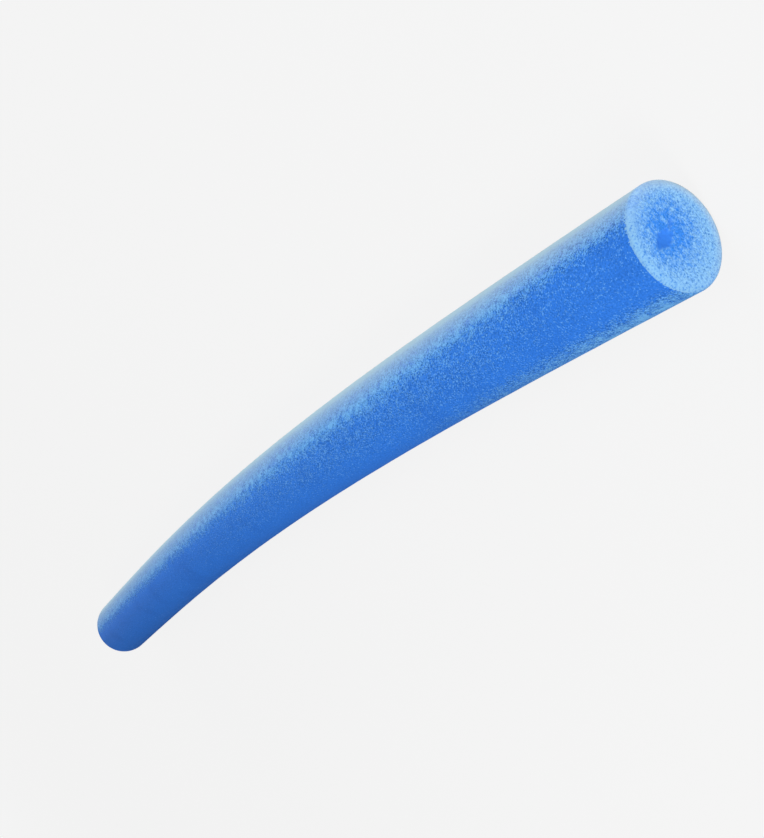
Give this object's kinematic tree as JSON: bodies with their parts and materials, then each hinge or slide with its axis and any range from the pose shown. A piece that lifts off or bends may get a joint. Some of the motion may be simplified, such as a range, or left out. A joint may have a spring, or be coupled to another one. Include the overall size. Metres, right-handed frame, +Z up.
{
  "type": "pool noodle",
  "caption": "Solid round rod of blue closed-cell foam, gently bowed, with rounded cut ends, for floating and swimming.",
  "frame": {"origin": "middle of the bounding box, on the surface that the noodle lies on", "axes": "+X along the noodle, +Y towards the outside of its bow, +Z up from the surface that it lies on"},
  "size_m": [1.222, 0.0988, 0.0755],
  "materials": {
    "foam": "matte"
  },
  "bodies": {
    "root": {"foam_noodle": "foam"}
  },
  "joints": []
}
